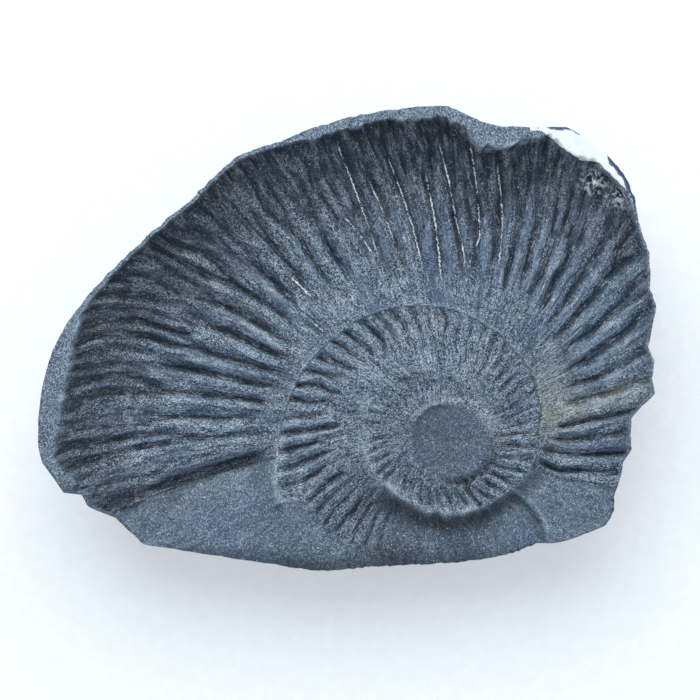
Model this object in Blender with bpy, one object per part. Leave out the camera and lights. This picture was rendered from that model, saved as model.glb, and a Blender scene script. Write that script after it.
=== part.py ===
# Ammonite fossil: the hollow half of a split shale nodule, which holds the ribbed impression of the
# shell. It is one stone. It lies hollow side up on the worn flat of its back.
#
# The upper face and the back are one grid of rings and columns. On the upper face the rings grow from
# the coil's pole to the stone's outline, and on the back they shrink to the base. Lengths are in
# millimetres and turned to metres at the end. Angles are in degrees, anticlockwise from +X about the
# pole. Heights are measured from the plane of the split. The coil's angle grows outwards: its last
# turn starts at 0, so a point at an angle also lies one turn in at that angle less 360.

import math

import bpy
import numpy as np

MM = 0.001

# Driving dimensions
SPLIT_HEIGHT = 27.0
POLE_X = 14.49
POLE_Y = -14.92
BASE_X = 0.1
BASE_Y = 1.8
BASE_SINK = 1.6

# The stone's outline seen from above: angle, distance from the pole
OUTLINE = [
    (0, 31.5), (4, 31.7), (7, 33.4), (10, 36.0), (14, 36.0), (18, 37.2), (22, 37.0), (26, 39.0),
    (30, 41.1), (34, 41.7), (40, 45.0), (46, 47.1), (50, 49.8), (54, 51.6), (60, 53.1), (67, 53.6),
    (72, 51.8), (78, 50.6), (82, 50.8), (88, 52.8), (100, 52.8), (118, 53.4), (126, 55.2),
    (131, 55.0), (137, 54.9), (145, 56.5), (151, 58.1), (157, 60.2), (163, 62.2), (168, 63.6),
    (175, 64.4), (182, 64.6), (184.5, 64.0), (187, 62.3), (189.2, 61.3), (190, 58.5), (192, 58.0),
    (195, 54.2), (198, 52.6), (201, 51.3), (204, 47.1), (206, 44.8), (210, 40.7), (215, 37.0),
    (220, 33.9), (225, 31.8), (230, 29.9), (236, 27.3), (242, 25.3), (250, 23.5), (260, 22.2),
    (272, 21.6), (285, 21.9), (295, 22.7), (305, 23.9), (312, 24.7), (318, 27.1), (325, 29.2),
    (331, 31.5), (336, 31.7), (340, 30.8), (351, 30.8), (355, 31.8), (360, 31.5),
]

# Height of the outline's edge above or below the split
EDGE_HEIGHT = [
    (0, -3.2), (20, -2.8), (38, -1.4), (50, -0.3), (60, 0.4), (70, 0.6), (80, 0.0), (95, 0.4),
    (120, 0.0), (150, -0.3), (165, 0.0), (180, 0.2), (187, -0.6), (189.2, -1.4), (191, -3.6),
    (196, -7.0), (205, -8.8), (230, -9.8), (270, -10.2), (300, -9.8), (314, -9.2), (320, -7.2),
    (335, -5.6), (345, -4.6), (360, -3.2),
]

# Width of the flat broken rim between the outline and the wall of the hollow
RIM_WIDTH = [
    (0, 0.3), (45, 0.4), (49.6, 0.9), (53.5, 1.5), (58.6, 2.2), (64.4, 3.7), (67, 2.6), (70, 1.1),
    (74, 2.5), (78, 3.3), (81, 4.2), (83, 3.6), (86, 2.1), (98, 1.6), (112, 1.8), (118, 0.8),
    (130, 0.6), (152, 0.6), (160, 0.9), (165, 1.8), (169, 3.3), (180, 3.5), (184, 2.2), (188, 2.6),
    (190, 0.8), (196, 0.4), (360, 0.3),
]

# The seam between the whorls, a crest on the impression: coil angle, distance from the pole
SEAM = [
    (-720, 4.0), (-560, 5.4), (-480, 6.8), (-420, 8.0), (-360, 8.2), (-285, 9.0), (-230, 10.7),
    (-180, 12.1), (-150, 12.3), (-120, 12.0), (-60, 14.3), (0, 16.9), (60, 19.0), (120, 21.9),
    (165, 24.2), (190, 26.2), (205, 28.4), (240, 31.0), (360, 40.0),
]
SEAM_END = 204.5

# Coil angle: height at the whorl's inner seam, height of its floor, width of the fall between them
WHORL = [
    (-720, -4.3, -4.8, 3.0), (-540, -4.4, -5.0, 4.0), (-450, -4.4, -5.4, 5.0), (-360, -4.5, -6.6, 7.0),
    (-270, -4.6, -6.8, 8.5), (-180, -4.8, -7.1, 11.0), (-155, -4.9, -7.9, 12.0),
    (-135, -5.0, -8.5, 8.0), (-120, -5.0, -8.8, 3.2), (-90, -5.2, -9.0, 2.4), (-40, -5.6, -8.9, 2.5),
    (-15, -6.1, -8.0, 3.5), (10, -6.2, -8.0, 5.0), (90, -6.6, -9.0, 5.5), (190, -6.9, -9.0, 5.5),
    (205, -7.0, -8.2, 3.0),
]

# Ribs of the outer whorl: angle, rib count. A groove lies at each whole count.
OUTER_RIBS = [
    (-30, -2), (-17, 0), (-10, 1), (-3.7, 2), (2.8, 3), (12.6, 4), (19, 5), (25.6, 6), (32, 7), (39, 8),
    (44.3, 9), (50.8, 10), (56.2, 11), (61.4, 12), (66.2, 13), (71.8, 14), (77.4, 15), (83.2, 16),
    (90, 17), (95.8, 18), (102, 19), (143.5, 26), (149, 27), (155, 28), (160.4, 29), (165.7, 30),
    (170.8, 31), (176.4, 32), (181.4, 33), (186.2, 34), (190.6, 35), (210, 39),
]

# Rib count: how deep that groove is against the others
GROOVE_SHARE = [
    (20, 1.0), (23, 0.85), (25, 1.0), (26, 1.1), (27, 1.25), (28, 1.35), (29, 1.6), (30, 1.1),
    (31, 1.35), (32, 0.9), (33, 1.2), (34, 0.15), (35, 0.1), (36, 0.0),
]

# Angle: how far the outer ribs lean forward between the seam and the rim
LEAN = [
    (-30, 6.5), (4, 6.0), (12, 1.0), (19, 2.3), (26, 6.0), (33, 6.5), (39, 4.5), (45, 10.5),
    (62, 11.0), (79, 11.0), (85, 13.0), (91, 7.0), (97, 8.0), (103, 5.2), (112, 3.0), (132, -2.0),
    (143, 3.5), (150, 2.8), (160, 1.2), (171, 1.8), (176.4, 5.5), (181.4, 3.0), (190, 4.0),
]

# Angle: where along their way to the rim the ribs fork. Past 1 they don't.
FORK = [(-20, 1.4), (20, 1.3), (35, 0.95), (45, 0.75), (60, 0.62), (90, 0.56), (190, 0.54)]

# Ribs of the whorls inside it: coil angle, rib count and groove depth
INNER_RIBS = [
    (-720, -60), (-360, -18), (-300, -9.6), (-229, 0), (-213.5, 2), (-199.5, 4), (-180, 7),
    (-160, 10), (-152.5, 11), (-141, 13), (-129, 15), (-60, 26),
]
INNER_DEPTH = [
    (-720, 0.2), (-580, 0.3), (-540, 0.6), (-420, 0.75), (-375, 0.5), (-350, 0.3), (-265, 0.3),
    (-232, 0.75), (-200, 0.95), (-150, 0.85), (-120, 0.6),
]

OUTER_RIB_DEPTH = 1.05
GROOVE_WIDTH = 0.16  # as a share of the ribs' spacing
ARCH_HEIGHT = 0.30   # of the rounded ridge between two grooves

# The last groove beside the mouth
LAST_GROOVE_ANGLE = 187.6
LAST_GROOVE_RADIUS = 29.5
LAST_GROOVE_TURN = 0.218  # degrees for each millimetre outwards
LAST_GROOVE_DEPTH = 3.0

# The broken ledge at the lower right: distance from the pole, how far its angle is past the middle one
LEDGE_ANGLE = -40.0
LEDGE_BEND = [(14.0, 2.4), (16.7, 2.0), (20.3, 1.0), (22.7, -1.0), (25.2, -5.0)]

# The smooth plug over the innermost coil, from the pole
PLUG_X = 2.5
PLUG_Y = -1.5
PLUG_HALF_WIDTH = 6.3
PLUG_HALF_DEPTH = 5.9
PLUG_HEIGHT = -4.3
PLUG_SLOPE = 0.07

# Grid, and the number of triangles kept
FIRST_ANGLE = -60.0
COLUMNS = 600
FACE_RINGS = 96
SIDE_RINGS = 20
KEPT_TRIANGLES = 9600


def blend(low, high, value):
    """A smooth step from 0 at low to 1 at high."""
    share = np.clip((value - low) / (high - low), 0.0, 1.0)
    return share * share * (3.0 - 2.0 * share)


def along(table, angle, column=1):
    """A table's value at an angle, straight between its points."""
    points = np.array(table, float)
    return np.interp(angle, points[:, 0], points[:, column])


def softly(table, angle, spread, column=1):
    """The same, rounded over a spread of degrees."""
    steps = np.linspace(-1.0, 1.0, 9)
    weights = 1.0 - 0.8 * steps**2
    total = sum(w * along(table, angle + s * spread, column) for s, w in zip(steps, weights))
    return total / weights.sum()


def chance(number, seed=0.0):
    """A fixed number from 0 to 1 that looks random, for each whole number."""
    return np.modf(np.abs(np.sin(number * 12.9898 + seed * 7.31 + 4.1) * 43758.5453))[0]


def swells(x, y, size, seed):
    """Low swells about a given size across, between -1 and 1."""
    total = 0.0
    for turn in range(5):
        heading = 2.399 * turn + seed
        reach = size * (0.75 + 0.14 * turn)
        run = x * np.cos(heading) + y * np.sin(heading)
        total = total + np.sin(run * 2.0 * np.pi / reach + 1.7 * turn * seed)
    return total / 5.0


def ribs(count, split, arch_height):
    """Bell-shaped grooves one apart in the rib count, each forked in two where split is 1."""
    number = np.round(count)
    offset = np.abs(count - number)
    depth = 0.7 + 0.5 * chance(number)
    width = GROOVE_WIDTH * (0.8 + 0.5 * chance(number, 2.0))
    bell = np.exp(-(((offset - 0.25 * split) / width) ** 2))
    arch = np.cos(2.0 * np.pi * count) * (1.0 - split) - 0.45 * np.cos(4.0 * np.pi * count) * split
    return -depth * bell * (1.0 - 0.30 * split) - arch_height * arch


def whorl_height(total, from_seam):
    """One whorl without its ribs: it falls from its inner seam to its floor, fast and then level."""
    top = softly(WHORL, total, 4, 1)
    floor = softly(WHORL, total, 3, 2)
    width = softly(WHORL, total, 4, 3)
    share = np.clip(from_seam / width, 0.0, 1.0)
    return top + (floor - top) * (1.0 - (1.0 - share) ** 2)


def outer_whorl(radius, angle, inner, rim, edge):
    """The last whorl's ribbed trough, which climbs to the rim along a quarter of a superellipse."""
    reach = np.clip((radius - inner) / np.maximum(rim - inner, 1.0), 0.0, 1.0)
    wall_start = 0.40 - 0.20 * blend(45, 0, angle)
    climb = np.clip((reach - wall_start) / (1.0 - wall_start), 0.0, 1.0)
    wall = 1.0 - (1.0 - climb**2.1) ** 0.60
    height = whorl_height(angle, radius - inner)
    height = height + 1.3 * blend(-8, -24, angle) * blend(0.0, 0.3, reach)
    height = height + (edge - height) * wall

    # The ribs lean forward, hook back beside the seam at the lower right, and curl near the left rim
    lean = along(LEAN, angle) * (reach - 0.35)
    hook = 30.0 * np.maximum(0.4 - reach, 0.0) ** 2 * blend(10, -5, angle)
    curl = 4.0 * (np.maximum(reach - 0.7, 0.0) / 0.3) ** 2 * blend(145, 158, angle)
    curl = curl * (1.0 - 0.8 * blend(166, 178, angle))
    count = along(OUTER_RIBS, angle - lean - hook - curl)
    number = np.round(count)
    fork = along(FORK, angle) + 0.24 * (chance(number, 1.0) - 0.5)
    split = blend(fork - 0.09, fork + 0.12, reach)
    start = 0.04 + 0.16 * blend(-10, 10, angle) * blend(158, 132, angle) + 0.05 * chance(number, 3.0)
    near_top = blend(60, 78, angle) * blend(128, 108, angle)
    strength = blend(start - 0.03, start + 0.14, reach) * along(GROOVE_SHARE, number)
    strength = strength * (1.0 - 0.45 * near_top * blend(0.75, 0.25, reach)) * blend(-0.8, -0.3, count)
    arch_height = ARCH_HEIGHT * (1.0 - 0.5 * near_top)
    return height + OUTER_RIB_DEPTH * strength * ribs(count, split, arch_height), count, reach


def last_groove(radius, angle, reach):
    """The last groove beside the mouth, steep above and easy below, with a broad ridge above it."""
    line = LAST_GROOVE_ANGLE + LAST_GROOVE_TURN * (radius - LAST_GROOVE_RADIUS)
    below = np.radians(angle - line) * radius
    outwards = blend(43.0, 49.0, radius)
    near = np.exp(-((below / (1.7 - 0.8 * outwards)) ** 2))
    far = np.exp(-((below / (4.5 - 2.5 * outwards)) ** 2))
    trench = np.where(below < 0.0, np.exp(-((below / 0.9) ** 2)), 0.65 * near + 0.35 * far)
    ridge = 0.9 * np.exp(-(((below + 3.3) / 2.3) ** 2)) * blend(0.1, 0.3, reach)
    depth = LAST_GROOVE_DEPTH * trench * blend(0.03, 0.16, reach) * (1.0 - 0.62 * outwards)
    return depth - ridge, below


def land_height(total, from_seam, to_outline, edge):
    """The smooth land past the mouth: the whorl's floor, rolled down to the outline."""
    height = whorl_height(total, from_seam)
    roll = np.clip(1.0 - to_outline / 4.2, 0.0, 1.0)
    return height + (edge - height) * roll**2.3


def inner_ribs(total, radius, inner, outer):
    """Ribs of a whorl inside the last one, in the outer part of the valley between its two seams."""
    share = np.clip((radius - inner) / np.maximum(outer - inner, 0.5), 0.0, 1.5)
    count = along(INNER_RIBS, total + 6.0 * (0.85 - share))
    coarse = blend(-265, -228, total)
    start = 0.20 + 0.10 * coarse - 0.16 * blend(-195, -175, total) + 0.14 * chance(np.round(count), 6.0)
    strength = blend(start, start + 0.24, share) * blend(1.0, 0.96, share)
    return along(INNER_DEPTH, total) * ribs(count, 0.0, 0.2) * strength


def upper_face(radius, angle, outline, rim, edge):
    """Height of the whole upper face: the plug, two inner whorls, the outer whorl, the land, the rim."""
    seam = softly(SEAM, angle, 12)
    seam_inside = softly(SEAM, angle - 360.0, 12)
    seam_deep = softly(SEAM, angle - 720.0, 12)

    ribbed, count, reach = outer_whorl(radius, angle, seam, rim, edge)
    past_ledge = angle - LEDGE_ANGLE - along(LEDGE_BEND, radius)
    below_ledge = blend(0.8, -0.8, past_ledge)
    land = land_height(angle, radius - seam, outline - radius, edge)
    groove, below_groove = last_groove(radius, angle, reach)
    end_of_ribs = np.where(angle > 170.0, blend(0.2, 2.0, below_groove), 0.0)
    on_land = np.maximum(blend(-0.3, -0.8, count), end_of_ribs)
    outer = ribbed + (land - ribbed) * np.maximum(below_ledge, end_of_ribs)
    outer = outer - np.where(angle > 150.0, groove, 0.0)

    # The middle whorl, whose outer side is open past the end of the seam
    past = blend(SEAM_END - 1.0, SEAM_END + 1.5, angle)
    open_flank = land_height(angle - 360.0, radius - seam_inside, outline - radius, edge)
    rib_outer = seam + (24.2 - 2.2 * blend(215, 240, angle) - seam) * blend(203.5, 208.5, angle)
    share = np.clip((radius - seam_inside) / np.maximum(seam - seam_inside, 0.5), 0.0, 1.0)
    closed = whorl_height(angle - 360.0, radius - seam_inside) - 0.35 * np.sin(np.pi * share)
    broken_off = 0.4 * blend(-0.2, 0.25, radius - rib_outer) * blend(238, 215, angle)
    middle = closed + (open_flank - broken_off - closed) * past
    middle = middle + inner_ribs(angle - 360.0, radius, seam_inside, rib_outer) * blend(252, 236, angle)

    deep = whorl_height(angle - 720.0, radius - seam_deep)
    deep = deep + inner_ribs(angle - 720.0, radius, seam_deep, seam_inside)
    inside = deep + (middle - deep) * blend(-0.25, 0.2, radius - seam_inside)
    past_seam = blend(-0.3, 0.15, radius - seam) * (1.0 - past)
    height = inside + (outer - inside) * past_seam

    x = radius * np.cos(np.radians(angle)) - PLUG_X
    y = radius * np.sin(np.radians(angle)) - PLUG_Y
    from_plug = np.hypot(x / PLUG_HALF_WIDTH, y / PLUG_HALF_DEPTH)
    plug_top = PLUG_HEIGHT + PLUG_SLOPE * (x - y) - 0.3 * (1.0 - from_plug**2)
    height = height + (plug_top - height) * blend(1.07, 0.97, from_plug)

    on_rim = blend(-0.2, 0.2, radius - rim) * (1.0 - on_land)
    return height + (edge - height) * on_rim


def face_points(angle):
    """Rings of the upper face, from the pole's neighbour to the outline, as one array."""
    turned = angle % 360.0
    outline = along(OUTLINE, turned)
    edge = softly(EDGE_HEIGHT, turned, 1.5)
    rim = outline - along(RIM_WIDTH, turned)
    share = np.arange(1, FACE_RINGS + 1)[:, None] / FACE_RINGS
    radius = outline * share
    angles = np.broadcast_to(angle, radius.shape)
    height = upper_face(radius, angles, outline, rim, edge)
    height[-1] = edge
    x = POLE_X + radius * np.cos(np.radians(angle))
    y = POLE_Y + radius * np.sin(np.radians(angle))
    return np.stack([x, y, height + SPLIT_HEIGHT], -1)


def side_points(rim_ring):
    """Rings of the rounded back, from under the outline to the flat that it rests on."""
    turn = 0.5 * math.pi * np.arange(1, SIDE_RINGS)[:, None] / SIDE_RINGS
    x = BASE_X + (rim_ring[:, 0] - BASE_X) * np.cos(turn) ** 0.85
    y = BASE_Y + (rim_ring[:, 1] - BASE_Y) * np.cos(turn) ** 0.85
    height = rim_ring[:, 2] - (rim_ring[:, 2] + BASE_SINK) * np.sin(turn) ** 1.08
    height = height + 1.1 * swells(x, y, 34.0, 0.6) * np.sin(turn)
    return np.stack([x, y, np.maximum(height, 0.0)], -1)


def stone_mesh():
    """One closed mesh: a fan at the pole, the rings, and a fan at the base."""
    angle = FIRST_ANGLE + np.arange(COLUMNS) * 360.0 / COLUMNS
    face = face_points(angle)
    rings = np.concatenate([face, side_points(face[-1])])
    pole = [POLE_X, POLE_Y, face[0, :, 2].mean()]
    base = [BASE_X, BASE_Y, 0.0]
    points = np.vstack([pole, rings.reshape(-1, 3), base]) * MM
    last = len(points) - 1
    outer = 1 + (len(rings) - 1) * COLUMNS
    faces = []
    for column in range(COLUMNS):
        following = (column + 1) % COLUMNS
        faces.append((0, 1 + column, 1 + following))
        for ring in range(len(rings) - 1):
            near = 1 + ring * COLUMNS
            far = near + COLUMNS
            faces.append((near + column, far + column, far + following, near + following))
        faces.append((outer + column, last, outer + following))
    mesh = bpy.data.meshes.new("ammonite_stone")
    mesh.from_pydata(points.tolist(), [], faces)
    return mesh


def shale():
    """Dark blue-grey shale."""
    material = bpy.data.materials.new("black_shale")
    material.use_nodes = True
    shader = material.node_tree.nodes["Principled BSDF"]
    shader.inputs["Base Color"].default_value = (0.075, 0.10, 0.13, 1.0)
    shader.inputs["Roughness"].default_value = 0.6
    shader.inputs["Metallic"].default_value = 0.0
    return material


def build():
    for thing in list(bpy.data.objects):
        bpy.data.objects.remove(thing)
    mesh = stone_mesh()
    stone = bpy.data.objects.new("ammonite_stone", mesh)
    bpy.context.scene.collection.objects.link(stone)
    mesh.materials.append(shale())
    fewer = stone.modifiers.new("fewer_triangles", "DECIMATE")
    fewer.decimate_type = "COLLAPSE"
    fewer.use_collapse_triangulate = True
    mesh.calc_loop_triangles()
    fewer.ratio = KEPT_TRIANGLES / len(mesh.loop_triangles)


build()
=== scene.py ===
import math

import bpy
import numpy as np
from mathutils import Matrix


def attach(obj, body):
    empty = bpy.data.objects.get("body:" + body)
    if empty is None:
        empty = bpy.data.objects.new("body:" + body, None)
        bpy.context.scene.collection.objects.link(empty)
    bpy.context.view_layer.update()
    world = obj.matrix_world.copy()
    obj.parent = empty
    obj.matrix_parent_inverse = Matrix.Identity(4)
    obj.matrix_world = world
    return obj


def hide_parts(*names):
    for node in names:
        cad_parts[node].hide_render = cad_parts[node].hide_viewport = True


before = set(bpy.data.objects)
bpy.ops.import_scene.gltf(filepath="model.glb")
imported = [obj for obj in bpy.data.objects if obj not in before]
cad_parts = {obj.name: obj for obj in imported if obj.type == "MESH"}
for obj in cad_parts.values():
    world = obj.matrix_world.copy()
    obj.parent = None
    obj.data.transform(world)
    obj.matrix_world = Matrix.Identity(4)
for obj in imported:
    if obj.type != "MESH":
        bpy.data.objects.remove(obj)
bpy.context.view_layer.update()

# The stone's main lengths, the same as the solid's, and how strongly its surface is worked
stonePlan = {
    "splitHeight": 27.0,        # height of the split face above the base
    "poleX": 14.49,             # the coil's pole
    "poleY": -14.92,
    "middleX": 0.1,             # the middle of the grid, inside the outline
    "middleY": 1.8,
    "baseSink": 1.6,            # how far the back would bulge below the base if it weren't worn flat
    "seamEnd": 204.5,           # where the outer seam runs out
    "ledgeAngle": -40.0,        # the broken ledge at the lower right
    "outerRibDepth": 0.98,
    "wrinkle": 0.20,            # height of the fine wrinkles along the ribs
    "grain": 0.12,              # height of the grain on the upper face
    "lump": 0.80,               # height of the lumps on the back
    "faceSteps": 292,           # cells across the grid of the upper face
    "ringsFine": 2,             # rings below the edge, at full count
    "ringsHalf": 4,
    "ringsQuarter": 20,
    "ringsBase": 10,
}

# Angle about the pole, distance from it: the stone seen from above
outlineTable = [
    (0, 31.5), (4, 31.7), (7, 33.4), (10, 36.0), (14, 36.0), (18, 37.2), (22, 37.0), (26, 39.0),
    (30, 41.1), (34, 41.7), (40, 45.0), (46, 47.1), (50, 49.8), (54, 51.6), (60, 53.1), (67, 53.6),
    (72, 51.8), (78, 50.6), (82, 50.8), (88, 52.8), (100, 52.8), (118, 53.4), (126, 55.2),
    (131, 55.0), (137, 54.9), (145, 56.5), (151, 58.1), (157, 60.2), (163, 62.2), (168, 63.6),
    (175, 64.4), (182, 64.6), (184.5, 64.0), (187, 62.3), (189.2, 61.3), (190, 58.5), (192, 58.0),
    (195, 54.2), (198, 52.6), (201, 51.3), (204, 47.1), (206, 44.8), (210, 40.7), (215, 37.0),
    (220, 33.9), (225, 31.8), (230, 29.9), (236, 27.3), (242, 25.3), (250, 23.5), (260, 22.2),
    (272, 21.6), (285, 21.9), (295, 22.7), (305, 23.9), (312, 24.7), (318, 27.1), (325, 29.2),
    (331, 31.5), (336, 31.7), (340, 30.8), (351, 30.8), (355, 31.8), (360, 31.5),
]

# Height of the outline's edge above or below the split
edgeTable = [
    (0, -3.2), (20, -2.8), (38, -1.4), (50, -0.3), (60, 0.4), (70, 0.6), (80, 0.0), (95, 0.4),
    (120, 0.0), (150, -0.3), (165, 0.0), (180, 0.2), (187, -0.6), (189.2, -1.4), (191, -3.6),
    (196, -7.0), (205, -8.8), (230, -9.8), (270, -10.2), (300, -9.8), (314, -9.2), (320, -7.2),
    (335, -5.6), (345, -4.6), (360, -3.2),
]

# Width of the flat broken rim
rimTable = [
    (0, 0.3), (45, 0.4), (49.6, 0.9), (53.5, 1.5), (58.6, 2.2), (64.4, 3.7), (67, 2.6), (70, 1.4), (74, 2.5),
    (78, 3.3), (81, 4.2), (83, 3.6), (86, 2.1), (98, 1.6), (112, 1.8), (118, 0.8), (130, 0.6),
    (152, 0.6), (160, 0.9), (165, 1.8), (169, 3.3), (180, 3.5), (184, 2.2), (188, 2.6),
    (190, 0.8), (196, 0.4), (360, 0.3),
]

# Total angle along the coil: the seam's distance from the pole. The coil's last turn starts at 0.
seamTable = [
    (-720, 4.0), (-560, 5.4), (-480, 6.8), (-420, 8.0), (-360, 8.2), (-285, 9.0), (-230, 10.7),
    (-180, 12.1), (-150, 12.3), (-120, 12.0), (-60, 14.3), (0, 16.9), (60, 19.0), (120, 21.9),
    (165, 24.2), (190, 26.2), (205, 28.4), (240, 31.0), (360, 40.0),
]

# Total angle: height at the whorl's inner seam, height of its floor, width of the fall between them
whorlTable = [
    (-720, -4.3, -4.8, 3.0), (-540, -4.4, -5.0, 4.0), (-450, -4.4, -5.4, 5.0), (-360, -4.5, -6.6, 7.0),
    (-270, -4.6, -6.8, 8.5), (-180, -4.8, -7.1, 11.0), (-155, -4.9, -7.9, 12.0), (-135, -5.0, -8.5, 8.0),
    (-120, -5.0, -8.8, 3.2), (-90, -5.2, -9.0, 2.4), (-40, -5.6, -8.9, 2.5), (-15, -6.1, -8.0, 3.5),
    (10, -6.2, -8.0, 5.0), (90, -6.6, -9.0, 5.5), (190, -6.9, -9.0, 5.5), (205, -7.0, -8.2, 3.0),
]

# Angle: rib count of the outer whorl
outerRibTable = [
    (-30, -2), (-17, 0), (-10, 1), (-3.7, 2), (2.8, 3), (12.6, 4), (19, 5), (25.6, 6), (32, 7), (39, 8),
    (44.3, 9), (50.8, 10), (56.2, 11), (61.4, 12), (66.2, 13), (71.8, 14), (77.4, 15), (83.2, 16),
    (90, 17), (95.8, 18), (102, 19), (143.5, 26), (149, 27), (155, 28), (160.4, 29), (165.7, 30), (170.8, 31), (176.4, 32), (181.4, 33),
    (186.2, 34), (190.6, 35), (210, 39),
]

# Rib count: how deep that groove is against the others, along the left flank
grooveDepthTable = [
    (-1, 1.2), (0, 1.35), (1, 1.2), (2, 1.55), (3, 1.25), (4, 0.9), (5, 1.0), (20, 1.0), (23, 0.85), (25, 1.0), (26, 1.1), (27, 1.25), (28, 1.35), (29, 1.6), (30, 1.1), (31, 1.35),
    (32, 0.9), (33, 1.2), (34, 0.15), (35, 0.1), (36, 0.0),
]

# Angle: how far the outer whorl's ribs lean forward between the seam and the rim
leanTable = [
    (-30, 6.5), (4, 6.0), (12, 1.0), (19, 2.3), (26, 6.0), (33, 6.5), (39, 4.5), (45, 10.5), (62, 11.0),
    (79, 11.0), (85, 13.0), (91, 7.0), (97, 8.0), (103, 5.2), (112, 3.0), (132, -2.0), (143, 3.5), (150, 2.8), (160, 1.2), (171, 1.8), (176.4, 5.5), (181.4, 3.0),
    (190, 4.0),
]

# Angle: where along their way to the rim the ribs fork; past 1 they don't
forkTable = [(-20, 1.4), (20, 1.3), (35, 0.95), (45, 0.75), (60, 0.62), (90, 0.56), (190, 0.54)]

# Total angle: rib count of the whorls inside it
innerRibTable = [
    (-720, -60), (-360, -18), (-300, -9.6), (-229, 0), (-213.5, 2), (-199.5, 4), (-180, 7),
    (-160, 10), (-152.5, 11), (-141, 13), (-129, 15), (-60, 26),
]

# Total angle: depth of the inner whorls' ribs
innerDepthTable = [
    (-720, 0.2), (-580, 0.3), (-540, 0.5), (-420, 0.6), (-375, 0.45), (-350, 0.3), (-265, 0.35),
    (-235, 0.95), (-200, 0.90), (-150, 0.68), (-120, 0.5),
]

# Distance from the pole: the ledge's angle past its middle place
ledgeBendTable = [(14.0, 2.4), (16.7, 2.0), (20.3, 1.0), (22.7, -1.0), (25.2, -5.0)]

# The smooth worn plug over the innermost coil, from the pole
plugPlan = {"x": 2.5, "y": -1.5, "halfWidth": 6.3, "halfDepth": 5.9, "height": -4.3, "slope": 0.07}

# The deep last groove beside the mouth: its angle where it leaves the seam, how much that grows with each
# millimetre outwards, and its depth
lastGroovePlan = {"angle": 187.6, "radius": 29.5, "turn": 0.218, "depth": 3.1}


# A step from 0 at low to 1 at high that starts and ends level
def smoothStep(low, high, value):
    share = np.clip((value - low) / (high - low), 0.0, 1.0)
    return share * share * (3.0 - 2.0 * share)


# A table's value, in straight runs between its points
def tableValue(table, angle, column=1):
    points = np.array(table, float)
    return np.interp(angle, points[:, 0], points[:, column])


# The table's value averaged over a spread of degrees, so that its corners are round
def softTable(table, angle, spread, column=1):
    steps = np.linspace(-1.0, 1.0, 9)
    weights = 1.0 - 0.8 * steps**2
    total = sum(w * tableValue(table, angle + s * spread, column) for s, w in zip(steps, weights))
    return total / weights.sum()


# A fixed number from 0 to 1 for each whole number, the fraction left by a large sine
def chance(number, seed=0.0):
    return np.modf(np.abs(np.sin(number * 12.9898 + seed * 7.31 + 4.1) * 43758.5453))[0]


# Value noise from -1 to 1: fixed numbers on a lattice, blended along smooth steps. Coordinates are in cells.
def latticeNoise(x, y, z, seed):
    corner = [np.floor(v).astype(np.int64) for v in (x, y, z)]
    part = [v - c for v, c in zip((x, y, z), corner)]
    part = [p * p * (3.0 - 2.0 * p) for p in part]
    total = np.zeros_like(x)
    for number in range(8):
        step = [(number >> axis) & 1 for axis in range(3)]
        mixed = (corner[0] + step[0]) * 73856093 ^ (corner[1] + step[1]) * 19349663
        mixed = (mixed ^ (corner[2] + step[2]) * 83492791 ^ seed * 40503) & 0x7FFFFFFF
        mixed = ((mixed ^ (mixed >> 13)) * 1274126177) & 0x7FFFFFFF
        value = ((mixed ^ (mixed >> 16)) & 0xFFFFF) / 0x7FFFF - 1.0
        weight = 1.0
        for axis in range(3):
            weight = weight * (part[axis] if step[axis] else 1.0 - part[axis])
        total = total + value * weight
    return total


# Layers of the noise, each half the size and about half the height of the one before
def roughNoise(x, y, z, size, seed, layers=3):
    total, height, heights = 0.0, 1.0, 0.0
    for layer in range(layers):
        cell = size / 2**layer
        total = total + height * latticeNoise(x / cell, y / cell, z / cell, seed + layer)
        heights += height
        height *= 0.55
    return total / heights


# Low swells: five sine waves of about one size that cross at different headings
def swells(x, y, size, seed):
    total = 0.0
    for turn in range(5):
        heading = 2.399 * turn + seed
        reach = size * (0.75 + 0.14 * turn)
        run = x * np.cos(heading) + y * np.sin(heading)
        total = total + np.sin(run * 2.0 * np.pi / reach + 1.7 * turn * seed)
    return total / 5.0


# Where a point lies in the coil. The angle runs from -60 to 300 and the seam one turn in is at angle - 360.
def coilPlace(x, y):
    radius = np.hypot(x - stonePlan["poleX"], y - stonePlan["poleY"])
    angle = np.degrees(np.arctan2(y - stonePlan["poleY"], x - stonePlan["poleX"]))
    return radius, np.where(angle < -60.0, angle + 360.0, angle)


# Grooves one apart in the rib count, each forked in two where split is 1, between broad rounded ridges.
# Each groove is a bell curve of its own depth and width. Each ridge is a cosine arch whose crest lies at the
# share called crest of the way to the next groove. Returned with the arch alone, 1 in the grooves.
def ribRelief(count, split, width, archHeight, crest):
    number = np.round(count)
    offset = np.abs(count - number)
    depth = 0.55 + 0.45 * chance(number)
    bell = np.exp(-(((offset - 0.25 * split) / (width * (0.8 + 0.5 * chance(number, 2.0)))) ** 2))
    phase = count - np.floor(count)
    phase = np.where(phase < crest, 0.5 * phase / crest, 0.5 + 0.5 * (phase - crest) / (1.0 - crest))
    arch = np.cos(2.0 * np.pi * phase) * (1.0 - split) - 0.45 * np.cos(4.0 * np.pi * phase) * split
    return -depth * bell * (1.0 - 0.30 * split) - archHeight * arch, arch


# Where each ridge's crest lies between its grooves: nearer to the one that is higher in the picture
def crestPlace(angle):
    return 0.5 + 0.13 * np.cos(np.radians(angle))


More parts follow.
